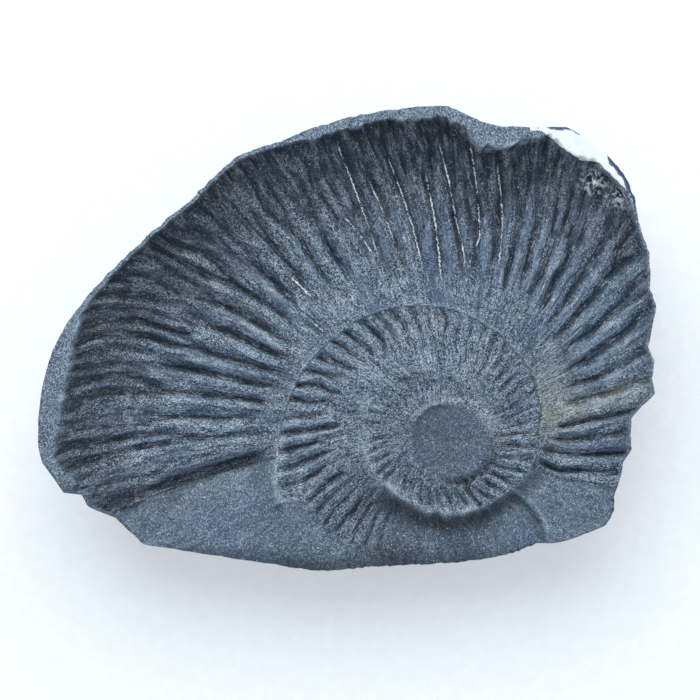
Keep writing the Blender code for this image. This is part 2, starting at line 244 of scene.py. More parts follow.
# Wrinkles drawn out along the ribs: noise whose cells are short across the ribs and long along them
def wrinkles(count, radius, seed, across=0.15, along=2.6):
    fine = latticeNoise(count / (0.6 * across), radius / (0.45 * along), np.zeros_like(radius), seed + 2)
    middle = latticeNoise(count / across, radius / along, np.zeros_like(radius), seed)
    broad = latticeNoise(count / (2.6 * across), radius / (2.0 * along), np.zeros_like(radius), seed + 5)
    return 0.25 * fine + 0.40 * middle + 0.35 * broad


# Height of one whorl without ribs: from its inner seam it falls to its floor, fast and then level
def whorlHeight(total, fromSeam):
    top = softTable(whorlTable, total, 4, 1)
    floor = softTable(whorlTable, total, 3, 2)
    width = softTable(whorlTable, total, 4, 3)
    share = np.clip(fromSeam / width, 0.0, 1.0)
    return top + (floor - top) * (1.0 - (1.0 - share) ** 2)


# The outer whorl's trough climbs to the rim along a quarter of a superellipse. Its ribs lean forward on
# their way out, hook back beside the seam at the lower right and curve forward near the rim at the left,
# fork part of the way out, and fade on the broad smooth strip beside the seam.
def outerWhorl(radius, angle, inner, rim, edge):
    reach = np.clip((radius - inner) / np.maximum(rim - inner, 1.0), 0.0, 1.0)
    wallStart = 0.40 - 0.20 * smoothStep(45, 0, angle)
    climb = np.clip((reach - wallStart) / (1.0 - wallStart), 0.0, 1.0)
    wall = 1.0 - (1.0 - climb**2.1) ** 0.60
    height = whorlHeight(angle, radius - inner)
    height = height + 1.3 * smoothStep(-8, -24, angle) * smoothStep(0.0, 0.3, reach)
    height = height + (edge - height) * wall

    lean = tableValue(leanTable, angle) * (reach - 0.35)
    hook = 30.0 * np.maximum(0.4 - reach, 0.0) ** 2 * smoothStep(10, -5, angle)
    curl = 4.0 * (np.maximum(reach - 0.7, 0.0) / 0.3) ** 2 * smoothStep(145, 158, angle)
    curl = curl * (1.0 - 0.8 * smoothStep(166, 178, angle))
    count = tableValue(outerRibTable, angle - lean - hook - curl)
    count = count + 0.10 * latticeNoise(count * 0.9, radius / 9.0, radius * 0.0, 3)
    count = count + 0.06 * latticeNoise(count * 2.1, radius / 3.5, radius * 0.0, 4)
    number = np.round(count)
    fork = tableValue(forkTable, angle) + 0.24 * (chance(number, 1.0) - 0.5)
    split = smoothStep(fork - 0.09, fork + 0.12, reach)
    start = 0.04 + 0.16 * smoothStep(-10, 10, angle) * smoothStep(158, 132, angle) + 0.05 * chance(number, 3.0)
    strength = smoothStep(start - 0.03, start + 0.14, reach) * tableValue(grooveDepthTable, number)
    nearTop = smoothStep(60, 78, angle) * smoothStep(128, 108, angle)
    strength = strength * (1.0 - 0.30 * nearTop * smoothStep(0.75, 0.25, reach))
    boost = smoothStep(102, 115, angle) * smoothStep(155, 140, angle) * smoothStep(0.20, 0.50, reach)
    boost = boost + smoothStep(30, 42, angle) * smoothStep(80, 65, angle)
    strength = strength * (1.0 + 0.25 * boost)
    strength = strength * smoothStep(-0.8, -0.3, count)
    strength = strength * (0.75 + 0.5 * latticeNoise(number * 7.3, radius / 7.0, radius * 0.0, 43))
    leftSide = smoothStep(118, 140, angle)
    width = 0.125 + 0.075 * smoothStep(0.45, 0.85, reach) * leftSide
    relief, arch = ribRelief(count, split, width, 0.42 + 0.14 * nearTop, crestPlace(angle))
    relief = stonePlan["outerRibDepth"] * relief * strength
    # How much painted shade the grooves take in the finish: most at the top, on the wall and at the right
    gutter = smoothStep(0.25, 1.0, arch) * smoothStep(0.02, 0.25, reach) * smoothStep(-0.8, -0.3, count)
    onWall = 0.7 * smoothStep(98, 115, angle) * smoothStep(0.40, 0.70, reach)
    onRight = smoothStep(20, 38, angle) * smoothStep(80, 62, angle) * smoothStep(0.15, 0.35, reach)
    gutter = gutter * (0.32 + 0.68 * np.maximum(nearTop, np.maximum(onWall, 0.7 * onRight))) * (0.8 + 0.6 * latticeNoise(count * 1.9, radius / 4.0, radius * 0.0, 47))
    crease = stonePlan["wrinkle"] * wrinkles(count, radius, 41) * smoothStep(0.02, 0.15, reach)
    crease = crease * smoothStep(-0.9, -0.3, count) * (1.0 + 0.9 * leftSide * smoothStep(0.3, 0.7, reach))
    pitch = np.radians(5.7) * radius / np.pi
    wave = (np.sin(np.pi * count) * (1.0 - split) + 0.5 * np.cos(2.0 * np.pi * count) * split) * pitch
    across = np.where(split < 0.5, count, 2.0 * count + 0.5) % 1.0
    sleek = smoothStep(0.30, 0.52, across) * smoothStep(1.0, 0.88, across) * np.abs(2.0 * split - 1.0)
    sleek = sleek * smoothStep(5, 25, angle) * smoothStep(125, 105, angle) * smoothStep(0.10, 0.25, reach)
    # How strongly each groove gets its thin line of painted shade in the finish
    cut = np.clip(strength, 0.0, 1.0) * (1.0 - 0.45 * smoothStep(40, 26, angle) * smoothStep(8, 16, angle))
    marks = {"count": count, "reach": reach, "gutter": gutter, "wave": wave, "cut": cut}
    marks["sleek"] = sleek * (1.0 + 0.6 * onRight)
    marks["onRight"] = onRight
    return height + relief + crease, marks


# The last groove beside the mouth: a deep trench, steep above and easy below, that narrows outwards, with
# a broad round ridge above it. Returned with how far below its line each point lies, in millimetres.
def lastGroove(radius, angle, reach):
    plan = lastGroovePlan
    line = plan["angle"] + plan["turn"] * (radius - plan["radius"])
    below = np.radians(angle - line) * radius
    outwards = smoothStep(43.0, 49.0, radius)
    trench = np.where(below < 0.0, np.exp(-((below / 0.8) ** 2)), 0.65 * np.exp(
        -((below / (1.6 - 0.8 * outwards)) ** 2)) + 0.35 * np.exp(-((below / (4.5 - 2.5 * outwards)) ** 2)))
    ridge = 0.9 * np.exp(-(((below + 3.3) / 2.3) ** 2)) * smoothStep(0.1, 0.3, reach)
    depth = plan["depth"] * trench * smoothStep(0.03, 0.16, reach) * (1.0 - 0.62 * outwards)
    return depth - ridge, below


# The smooth land past the mouth: the whorl's floor, rolled down to the outline over its last few millimetres
def landHeight(total, fromSeam, toOutline, edge):
    height = whorlHeight(total, fromSeam)
    roll = np.clip(1.0 - toOutline / 4.2, 0.0, 1.0)
    return height + (edge - height) * roll**2.3


# Ribs of the inner whorls, in the outer part of the valley between two seams, with wrinkles over all of it
def innerRibs(total, radius, inner, outer):
    share = np.clip((radius - inner) / np.maximum(outer - inner, 0.5), 0.0, 1.5)
    count = tableValue(innerRibTable, total + 6.0 * (0.85 - share))
    count = count + 0.20 * latticeNoise(count * 0.8, radius / 3.0, radius * 0.0, 9)
    coarse = smoothStep(-265, -228, total)
    longer = smoothStep(-195, -175, total)
    depth = tableValue(innerDepthTable, total)
    start = 0.20 + 0.10 * coarse - 0.16 * longer + 0.14 * chance(np.round(count), 6.0)
    strength = smoothStep(start, start + 0.24, share) * smoothStep(1.0, 0.96, share)
    strength = strength * (0.75 + 0.6 * latticeNoise(np.round(count) * 5.1, radius / 3.0, radius * 0.0, 45))
    crease = stonePlan["wrinkle"] * wrinkles(count, radius, 57, 0.3, 1.6) * smoothStep(1.0, 0.9, share)
    width = 0.17 - 0.02 * coarse
    relief = depth * ribRelief(count, 0.0, width, 0.34, crestPlace(total))[0] * strength + crease
    marks = {"count": count, "wave": np.sin(np.pi * count) * np.radians(7.0) * radius / np.pi}
    marks["cut"] = np.clip(strength * depth, 0.0, 1.0) * smoothStep(9.0, 14.0, radius)
    return relief, marks


# The whole upper face and the fields that the finish reads, each an array over the grid
def upperFace(x, y, onRim, outline, rim, edge):
    radius, angle = coilPlace(x, y)
    seam = softTable(seamTable, angle, 12)
    seamInside = softTable(seamTable, angle - 360.0, 12)
    seamDeep = softTable(seamTable, angle - 720.0, 12)
    seam = seam + 0.16 * latticeNoise(angle / 7.0, angle * 0.0, angle * 0.0, 71)
    seamInside = seamInside + 0.34 * latticeNoise(angle / 6.0, angle * 0.0, angle * 0.0, 73)

    ribbed, marks = outerWhorl(radius, angle, seam, rim, edge)
    count, reach = marks["count"], marks["reach"]
    pastLedge = angle - stonePlan["ledgeAngle"] - tableValue(ledgeBendTable, radius)
    belowLedge = smoothStep(0.8, -0.8, pastLedge)
    land = landHeight(angle, radius - seam, outline - radius, edge)
    groove, belowGroove = lastGroove(radius, angle, reach)
    endOfRibs = np.where(angle > 170.0, smoothStep(0.2, 2.0, belowGroove), 0.0)
    onLand = np.maximum(smoothStep(-0.3, -0.8, count), endOfRibs)
    outer = ribbed + (land - ribbed) * np.maximum(belowLedge, endOfRibs)
    outer = outer - np.where(angle > 150.0, groove, 0.0)

    past = smoothStep(stonePlan["seamEnd"] - 1.0, stonePlan["seamEnd"] + 1.5, angle)
    openFlank = landHeight(angle - 360.0, radius - seamInside, outline - radius, edge)
    ribOuter = seam + (24.2 - 2.2 * smoothStep(215, 240, angle) - seam) * smoothStep(203.5, 208.5, angle)
    middleRibs, middleMarks = innerRibs(angle - 360.0, radius, seamInside, ribOuter)
    middleRibs = middleRibs * smoothStep(252, 236, angle)
    share = np.clip((radius - seamInside) / np.maximum(seam - seamInside, 0.5), 0.0, 1.0)
    closed = whorlHeight(angle - 360.0, radius - seamInside) - 0.35 * np.sin(np.pi * share)
    brokenOff = 0.4 * smoothStep(-0.2, 0.25, radius - ribOuter) * smoothStep(238, 215, angle)
    middle = closed + (openFlank - brokenOff - closed) * past + middleRibs

    innerRelief = innerRibs(angle - 720.0, radius, seamDeep, seamInside)[0]
    deep = whorlHeight(angle - 720.0, radius - seamDeep) + innerRelief

    crossing = smoothStep(-0.25, 0.2, radius - seamInside)
    inside = deep + (middle - deep) * crossing
    pastSeam = smoothStep(-0.3, 0.15, radius - seam) * (1.0 - past)
    height = inside + (outer - inside) * pastSeam
    onOuter = pastSeam * (1.0 - onLand)

    plugX = x - stonePlan["poleX"] - plugPlan["x"]
    plugY = y - stonePlan["poleY"] - plugPlan["y"]
    fromPlug = np.hypot(plugX / plugPlan["halfWidth"], plugY / plugPlan["halfDepth"])
    fromPlug = fromPlug + 0.09 * roughNoise(x, y, x * 0.0, 2.2, 81, 3)
    onPlug = smoothStep(1.07, 0.97, fromPlug)
    plugTop = plugPlan["height"] + plugPlan["slope"] * (plugX - plugY) - 0.3 * (1.0 - fromPlug**2)
    rimOfPlug = 0.2 * np.exp(-(((fromPlug - 1.12) / 0.10) ** 2)) * smoothStep(-2.0, 3.0, plugY - 0.5 * plugX)
    lowerRight = smoothStep(3.0, 5.5, 0.69 * plugX - 0.72 * plugY)
    crack = 0.6 * np.exp(-(((fromPlug - 1.14) / 0.08) ** 2)) * lowerRight
    height = height + (plugTop - height) * onPlug + rimOfPlug - crack
    fromRing = radius - seamInside
    # The crumbly zone below the inner ring and past the turn: roughened here, and given painted shadow in the finish
    underRing = smoothStep(0.0, 0.6, fromRing) * smoothStep(5.5, 2.0, fromRing) * smoothStep(
        220, 234, angle)
    pastTurn = smoothStep(0.0, 0.6, radius - seam) * smoothStep(4.5, 1.2, radius - seam) * smoothStep(-30, -50, angle)
    underRing = np.maximum(underRing, pastTurn)
    height = height - 0.45 * underRing * np.abs(roughNoise(x, y, x * 0.0, 1.9, 91, 3))

    flatRim = onRim * (1.0 - onLand)
    height = height + (edge - height) * flatRim
    facet = facetField(radius, angle, rim) * (1.0 - flatRim)
    height = height - 0.55 * facet * np.abs(roughNoise(x, y, x * 0.0, 2.6, 83, 3)) - nickDepth(x, y)
    smooth = np.clip(np.maximum(onPlug, np.maximum(flatRim, (1.0 - onOuter) * (
        1.0 - smoothStep(252, 225, angle) * smoothStep(1.0, 0.0, radius - ribOuter)) * smoothStep(
            0.0, 0.6, radius - seamInside) * crossing * np.where(angle > 190, 1.0, onLand))), 0.0, 1.0)
    coarse = (1.0 - onOuter) * (1.0 - smooth)
    grain = 0.55 * roughNoise(x, y, height, 1.3, 11, 2) + 0.45 * roughNoise(x, y, height, 4.0, 17, 2)
    height = height + stonePlan["grain"] * grain * (1.0 - 0.65 * smooth + 1.1 * coarse)
    # Pale lines along edges: the middle whorl's broken edge, the outer seam's crest at the upper right, the ring's
    # edge, the ledge and the jagged rim; partly worn crumbs, partly painted highlight on edges facing the light
    besideEdge = np.exp(-(((radius - ribOuter) / 0.55) ** 2)) * smoothStep(176, 184, angle) * smoothStep(214, 206, angle)
    seamLine = np.exp(-(((radius - seam) / 0.20) ** 2)) * smoothStep(12, 26, angle) * smoothStep(118, 100, angle)
    ringLine = np.exp(-(((fromRing + 0.2) / 0.4) ** 2)) * smoothStep(150, 190, angle)
    ledgeLine = 1.2 * np.exp(-(((pastLedge - 1.4) / 0.6) ** 2)) * smoothStep(-60, -50, angle) * smoothStep(0.0, 0.6, radius - seam)
    jaggedRim = smoothStep(66, 72, angle) * smoothStep(92, 84, angle) + smoothStep(156, 164, angle) * smoothStep(
        184, 178, angle)
    rimWear = 0.9 * jaggedRim * np.exp(-(((radius - rim + 0.2) / 0.45) ** 2)) * (1.0 - onLand)
    aroundPlug = np.exp(-(((fromPlug - 1.16) / 0.12) ** 2)) * smoothStep(-2.0, 3.0, plugY + 0.4 * plugX)
    besidePlug = np.exp(-(((fromPlug - 1.05) / 0.08) ** 2)) * smoothStep(3.5, 5.5, plugX)
    ringCrust = np.exp(-(((fromRing + 0.4) / 0.9) ** 2)) * smoothStep(165, 185, angle)
    cornerCrust = np.exp(-(((radius - ribOuter + 0.3) / 0.8) ** 2)) * smoothStep(176, 184, angle) * smoothStep(
        214, 206, angle)
    # Darker on the middle whorl's open end and on the ring's lower part
    dimmed = 0.30 * smoothStep(198, 212, angle) * smoothStep(264, 250, angle) * crossing * (1.0 - underRing)
    dimmed = dimmed * smoothStep(1.5, 0.0, radius - ribOuter)
    dimmed = dimmed + 0.22 * smoothStep(-4.5, -3.2, fromRing) * (1.0 - crossing) * smoothStep(190, 215, angle)
    # Painted shade on the strip that rolls down to the lower outline
    rolled = smoothStep(6.5, 0.5, outline - radius) * smoothStep(208, 222, angle) * smoothStep(300, 285, angle)
    # Painted shade at the foot of the last groove at the left
    besideGroove = np.exp(-(((x + 29.5) / 6.0) ** 2 + ((y + 26.3) / 2.0) ** 2))
    chalkLine, chalk = chalkPlace(radius, angle)
    fields = {
        # The shade field is painted shade: on the outer wall, below the inner ring, on the rolled lower strip and
        # beside the last groove
        "shade": np.maximum(wallShade(angle, reach) * onOuter * (1.0 - flatRim) + 0.40 * besideGroove,
                            underRing * (0.62 + 0.3 * roughNoise(x, y, x * 0.0, 2.2, 93, 2)) + 0.60 * rolled + dimmed),
        "crust": np.clip(0.9 * aroundPlug + besidePlug + 0.8 * ringCrust + cornerCrust, 0.0, 1.0),
        "flecks": (1.0 - onOuter) * (1.0 - smooth),
        "gutter": marks["gutter"] * onOuter * (1.0 - flatRim),
        "sleek": marks["sleek"] * onOuter * (1.0 - flatRim),
        "wave": np.where(onOuter > 0.5, marks["wave"], middleMarks["wave"]),
        "cut": marks["cut"] * onOuter * (1.0 - flatRim) + middleMarks["cut"] * crossing * (
            1.0 - onOuter) * (1.0 - smooth),
        "onRibs": np.clip(onOuter * (1.0 - flatRim) + 0.4 * (1.0 - onOuter) * (1.0 - smooth), 0.0, 1.0),
        "worn": wornField(count, radius) * onOuter * (1.0 - 0.15 * marks["onRight"]) + 0.50 * (1.0 - onOuter) * (1.0 - smooth),
        "edgeWearAndHighlight": np.clip(0.45 * besideEdge + 1.3 * seamLine + 0.5 * ringLine + 0.9 * ledgeLine + rimWear, 0.0, 1.0),
        "facet": facet,
        "crumbs": crumbField(x, y),
        "flatRim": flatRim,
        "plug": onPlug,
        "smoothLand": smooth,
        "chalkLine": chalkLine,
        "chalk": chalk,
        "chip": chipField(radius, angle, outline),
        "calcite": calciteField(radius, angle, outline),
        "ochre": ochreField(x, y) * smoothStep(-0.5, 0.3, radius - seam),
        "alongRib": radius * 0.022,
        "acrossRib": np.where(onOuter > 0.5, count, middleMarks["count"] * 0.8) * 0.5,
        "speckle": np.clip(1.0 - 0.65 * smooth, 0.0, 1.0),
        "splitFace": np.ones_like(radius),
    }
    return height, fields


# Painted shade on the outer wall: rising towards the rim, most at the top, where the wall faces away from the light,
# and hardly at the right
def wallShade(angle, reach):
    most = 0.08 + 0.42 * smoothStep(30, 55, angle) + 0.38 * smoothStep(60, 80, angle)
    most = most * (1.0 - 0.15 * smoothStep(100, 115, angle))
    most = most * (1.0 - 0.20 * smoothStep(162, 180, angle))
    return most * (0.35 * smoothStep(0.15, 0.55, reach) + 0.65 * smoothStep(0.45, 0.88, reach))


# Where the ribs are worn pale and grainy: patches drawn out along them
def wornField(count, radius):
    return np.clip(0.60 + 0.50 * latticeNoise(count * 1.3, radius / 5.0, radius * 0.0, 61), 0.15, 1.0)


# The rough dark facet below the calcite, where the wall has split away: strongest at the rim
def facetField(radius, angle, rim):
    return smoothStep(40, 47, angle) * smoothStep(71, 65, angle) * smoothStep(6.5, 1.5, rim - radius)


# White crumbs of calcite on that facet, in two soft spots
def crumbField(x, y):
    upper = np.exp(-(((x - 39.9) / 1.9) ** 2 + ((y - 25.6) / 1.8) ** 2))
    lower = np.exp(-(((x - 44.6) / 2.2) ** 2 + ((y - 23.4) / 1.7) ** 2))
    return np.clip(upper + 0.9 * lower, 0.0, 1.0)


# The short nick in the smooth land below the last rib at the right: a slanted ellipse
def nickDepth(x, y):
    tilt = math.radians(-12.0)
    along = (x - 41.8) * math.cos(tilt) + (y + 24.2) * math.sin(tilt)
    across = (y + 24.2) * math.cos(tilt) - (x - 41.8) * math.sin(tilt)
    return 0.55 * np.exp(-((along / 1.8) ** 2 + (across / 0.45) ** 2))


# Chalky white lines in the upper grooves: angle and distance from the pole at the inner end, on the way and
# at the outer end
chalkLines = [
    (102.4, 30.8, 103.0, 34.6, 105.7, 45.1), (95.2, 28.7, 97.4, 36.5, 99.8, 44.6),
    (88.1, 24.8, 90.0, 33.0, 92.3, 41.7), (80.5, 28.4, 84.6, 34.7, 89.4, 46.5),
    (79.0, 27.1, 77.3, 32.5, 83.2, 46.4), (69.4, 29.0, 73.0, 37.0, 77.0, 44.0),
    (109.9, 31.1, 111.5, 35.0, 113.5, 38.8), (108.2, 35.4, 108.6, 42.0, 109.0, 49.0),
    (132.8, 29.6, 133.0, 32.5, 133.4, 35.5), (138.3, 24.2, 138.4, 26.0, 138.5, 28.2),
]


# How far across the nearest chalk line a point lies: the product of its clipped distances from them all, in
# millimetres. Returned with a mask that is 1 along the lines and 0 a little way off them.
def chalkPlace(radius, angle):
    across, along = np.ones_like(radius), np.zeros_like(radius)
    for line in chalkLines:
        offset = np.radians(angle - np.interp(radius, line[1::2], line[0::2])) * radius
        across = across * np.clip(offset, -1.0, 1.0)
        ends = smoothStep(line[1] - 1.0, line[1] + 1.0, radius) * smoothStep(line[5] + 1.0, line[5] - 1.0, radius)
        along = np.maximum(along, ends * smoothStep(1.8, 0.9, np.abs(offset)))
    return across, along


# The white calcite vein on the rim: how far inside its edges a point lies, below zero outside
def calciteField(radius, angle, outline):
    inner = tableValue([(48, 48.6), (49.7, 49.2), (52.4, 49.7), (57, 50.3), (59.3, 50.8), (62.2, 49.7), (66.8, 50.3),
                        (69.7, 51.2), (71, 51.4), (73, 51.0)], angle)
    return np.minimum(np.minimum(radius - inner, calciteEdge(angle, outline) - radius),
                      np.minimum(angle - 48.6, 73.0 - angle) * 0.9)


# The calcite's outer edge, a dark strip inside the outline at its two ends
def calciteEdge(angle, outline):
    return outline - 0.8 * smoothStep(59, 57, angle) - 0.45 * smoothStep(65, 67, angle) * smoothStep(70.5, 69.5, angle)


# The blue-black strips outside the calcite
def chipField(radius, angle, outline):
    ends = smoothStep(48.0, 49.5, angle) * smoothStep(60.0, 58.0, angle) + smoothStep(66, 67, angle) * smoothStep(
        70.0, 69.2, angle)
    return smoothStep(0.0, 0.25, radius - calciteEdge(angle, outline)) * ends


# Ochre dust beside the seam at the right, an ellipse that fades outwards, with a tail along the ribs
def ochreField(x, y):
    spot = np.exp(-(((x - 33.0) / 3.6) ** 2 + ((y + 11.0) / 6.0) ** 2))
    tail = np.exp(-(((x - 42.0) / 7.0) ** 2 + ((y + 9.5 - 0.3 * (x - 42.0)) / 1.8) ** 2))
    return np.clip(spot + 0.6 * tail, 0.0, 1.0)


# A curve given by angle about the pole, turned to distance by angle about the grid's middle
def aboutMiddle(distances, degrees, wanted):
    x = stonePlan["poleX"] + distances * np.cos(np.radians(degrees)) - stonePlan["middleX"]
    y = stonePlan["poleY"] + distances * np.sin(np.radians(degrees)) - stonePlan["middleY"]
    angle = np.arctan2(y, x)
    order = np.argsort(angle)
    return np.interp(wanted, angle[order], np.hypot(x, y)[order], period=2.0 * np.pi)


# Square grid to disc: rings are squares about the middle, and the place along a square's side gives the angle
def discGrid(count):
    a, b = np.meshgrid(np.linspace(-1, 1, count + 1), np.linspace(-1, 1, count + 1))
    share = np.maximum(np.abs(a), np.abs(b))
    safe = np.where(share == 0.0, 1.0, share)
    right = a >= np.abs(b)
    left = (-a >= np.abs(b)) & ~right
    upper = (b > 0.0) & ~right & ~left
    angle = np.where(right, 0.25 * np.pi * b / safe, np.where(upper, 0.5 * np.pi - 0.25 * np.pi * a / safe, np.where(
        left, np.pi - 0.25 * np.pi * b / safe, 1.5 * np.pi + 0.25 * np.pi * a / safe)))
    return share, angle


# Indices of the square grid's outer loop, anticlockwise from its lower left corner
def gridLoop(count):
    index = np.arange((count + 1) ** 2).reshape(count + 1, count + 1)
    return np.concatenate([index[0, :-1], index[:-1, -1], index[-1, :0:-1], index[:0:-1, 0]])


# Two triangles for each step between one ring and the next of the same count
def ringBand(upper, lower):
    upperNext, lowerNext = np.roll(upper, -1), np.roll(lower, -1)
    return np.concatenate([np.stack([upper, lower, lowerNext], 1), np.stack([upper, lowerNext, upperNext], 1)])


# Three triangles for each pair of steps between a ring and one of half its count
def halvingBand(upper, lower):
    first, second, third = upper[0::2], upper[1::2], np.roll(upper[0::2], -1)
    lowerNext = np.roll(lower, -1)
    return np.concatenate([np.stack([first, lower, second], 1), np.stack([second, lower, lowerNext], 1),
                           np.stack([second, lowerNext, third], 1)])


# The outline and the rim's inner edge, roughened inwards with small chips and scallops, as distances about
# the grid's middle for each angle there, with the edge's height
def roughOutline(angle):
    degrees = np.linspace(0.0, 360.0, 7200, endpoint=False)
    outline = tableValue(outlineTable, degrees)
    run = degrees * 0.7
    zero = run * 0.0
    chips = 0.28 * np.abs(latticeNoise(run / 1.7, zero, zero, 31)) + 0.14 * np.abs(latticeNoise(run / 0.6, zero, zero, 33))
    outline = outline - chips * (0.35 + 0.65 * smoothStep(-0.5, 0.5, latticeNoise(run / 12.0, zero, zero, 35)))
    width = tableValue(rimTable, degrees)
    teeth = smoothStep(58, 64, degrees) * smoothStep(98, 84, degrees)
    jag = 0.55 * latticeNoise(run / 2.4, zero, zero, 37) + (0.35 + 0.4 * teeth) * latticeNoise(run / 0.9, zero, zero, 39)
    rim = outline - np.maximum(width + jag * smoothStep(0.5, 1.5, width), 0.25)
    return aboutMiddle(outline, degrees, angle), aboutMiddle(rim, degrees, angle)


# The stone's points and triangles: the square grid of the face, then rings down the back to one point
def stoneShape():
    steps = stonePlan["faceSteps"]
    share, angle = discGrid(steps)
    rimShare = 0.94
    outlineReach, rimReach = roughOutline(angle)
    rimReach = np.minimum(rimReach, outlineReach - 0.15)
    inner = rimReach * share / rimShare
    outer = rimReach + (outlineReach - rimReach) * (share - rimShare) / (1.0 - rimShare)
    reach = np.where(share <= rimShare, inner, outer)
    x = stonePlan["middleX"] + reach * np.cos(angle)
    y = stonePlan["middleY"] + reach * np.sin(angle)
    turned = coilPlace(x, y)[1] % 360.0
    outline = tableValue(outlineTable, turned)
    rim = outline - tableValue(rimTable, turned)
    edge = softTable(edgeTable, turned, 1.5)
    onRim = smoothStep(rimShare - 0.008, rimShare + 0.004, share)
    height, fields = upperFace(x, y, onRim, outline, rim, edge)
    face = np.stack([x, y, height + stonePlan["splitHeight"]], -1).reshape(-1, 3)

    index = np.arange((steps + 1) ** 2).reshape(steps + 1, steps + 1)
    a, b, c, d = index[:-1, :-1].ravel(), index[:-1, 1:].ravel(), index[1:, 1:].ravel(), index[1:, :-1].ravel()
    triangles = [np.stack([a, b, c], 1), np.stack([a, c, d], 1)]

    loop = gridLoop(steps)
    start = face[loop]
    points = [face]
    total = len(face)
    previous = loop
    plan = [1] * stonePlan["ringsFine"] + [2] * stonePlan["ringsHalf"]
    plan += [4] * stonePlan["ringsQuarter"] + [8] * stonePlan["ringsBase"]
    middle = np.array([stonePlan["middleX"], stonePlan["middleY"]])
    for ring, every in enumerate(plan, 1):
        turn = 0.5 * math.pi * (ring / (len(plan) + 1)) ** 1.35
        edge = start[::every]
        place = middle + (edge[:, :2] - middle) * math.cos(turn) ** 0.85
        drop = edge[:, 2] - (edge[:, 2] + stonePlan["baseSink"]) * math.sin(turn) ** 1.08
        drop = drop + swells(place[:, 0], place[:, 1], 34.0, 0.6) * math.sin(turn) * 1.1
        points.append(np.column_stack([place, np.maximum(drop, 0.0)]))
        current = np.arange(len(edge)) + total
        total += len(edge)
        band = ringBand if len(current) == len(previous) else halvingBand
        triangles.append(band(previous, current))
        previous = current
    points.append(np.array([[middle[0], middle[1], 0.0]]))
    triangles.append(np.stack([previous, np.full(len(previous), total), np.roll(previous, -1)], 1))
    return np.vstack(points), np.vstack(triangles), fields, len(face)


# Arrays of points and triangles into a smooth-shaded mesh object at the origin
def meshObject(name, points, triangles):
    mesh = bpy.data.meshes.new(name)
    mesh.vertices.add(len(points))
    mesh.vertices.foreach_set("co", points.astype(np.float32).ravel())
    mesh.loops.add(triangles.size)
    mesh.loops.foreach_set("vertex_index", triangles.astype(np.int32).ravel())
    mesh.polygons.add(len(triangles))
    mesh.polygons.foreach_set("loop_start", np.arange(0, triangles.size, 3, dtype=np.int32))
    mesh.update(calc_edges=True)
    mesh.shade_smooth()
    thing = bpy.data.objects.new(name, mesh)
    bpy.context.scene.collection.objects.link(thing)
    return thing


# Lumps pushed out and in along the normals of the back, fading to nothing at the edge and on the base
def roughenBack(points, normals, faceCount):
    x, y, z = points.T
    lump = roughNoise(x, y, z, 11.0, 23, 3) * 0.75 + roughNoise(x, y, z, 2.2, 29, 2) * 0.25
    push = -np.abs(lump) * stonePlan["lump"] * smoothStep(0.0, 4.0, z)
    push[:faceCount] = 0.0
    rough = points + normals * push[:, None]
    rough[:, 2] = np.maximum(rough[:, 2], 0.0)
    return rough


# How far each point of the face stands above the mean of its surroundings, by a repeated three-cell mean
def standProud(height, passes):
    mean = height.copy()
    for _ in range(passes):
        padded = np.pad(mean, 1, mode="edge")
        mean = (padded[:-2, 1:-1] + padded[2:, 1:-1] + padded[1:-1, :-2] + padded[1:-1, 2:] + 2.0 * mean) / 6.0
    return height - mean


# Values for the face's points, and one value for all the others, as a mesh attribute
def storeField(mesh, name, values, elsewhere=0.0):
    full = np.full(len(mesh.vertices), elsewhere, np.float32)
    full[:values.size] = values.ravel()
    mesh.attributes.new(name, "FLOAT", "POINT").data.foreach_set("value", full)


# Node helpers: each makes one node, links or sets its inputs, and returns its output
def addNode(tree, kind, settings=None, inputs=None):
    node = tree.nodes.new(kind)
    for name, value in (settings or {}).items():
        setattr(node, name, value)
    for name, value in (inputs or {}).items():
        if isinstance(value, bpy.types.NodeSocket):
            tree.links.new(value, node.inputs[name])
        else:
            node.inputs[name].default_value = value
    return node


def fieldOf(tree, name):
    return addNode(tree, "ShaderNodeAttribute", {"attribute_name": name}).outputs["Fac"]


def noiseOf(tree, place, scale, detail=2.0, roughness=0.5):
    return addNode(tree, "ShaderNodeTexNoise", {}, {
        "Vector": place, "Scale": scale, "Detail": detail, "Roughness": roughness}).outputs["Fac"]


# Grains of about one size, each with two chance values from 0 to 1
def grainsOf(tree, place, scale):
    cells = addNode(tree, "ShaderNodeTexVoronoi", {"feature": "F1"}, {"Vector": place, "Scale": scale})
    parts = addNode(tree, "ShaderNodeSeparateColor", {}, {"Color": cells.outputs["Color"]})
    return parts.outputs["Red"], parts.outputs["Green"]


def ramp(tree, value, low, high, toLow=0.0, toHigh=1.0):
    return addNode(tree, "ShaderNodeMapRange", {"interpolation_type": "SMOOTHSTEP"}, {
        "Value": value, "From Min": low, "From Max": high, "To Min": toLow, "To Max": toHigh}).outputs["Result"]


def sums(tree, kind, first, second=0.0, third=0.0):
    return addNode(tree, "ShaderNodeMath", {"operation": kind}, {0: first, 1: second, 2: third}).outputs[0]


def blendColor(tree, share, first, second, kind="MIX"):
    node = addNode(tree, "ShaderNodeMix", {"data_type": "RGBA", "blend_type": kind}, {0: share})
    for number, value in ((6, first), (7, second)):
        if isinstance(value, bpy.types.NodeSocket):
            tree.links.new(value, node.inputs[number])
        else:
            node.inputs[number].default_value = (*value, 1.0)
    return node.outputs[2]


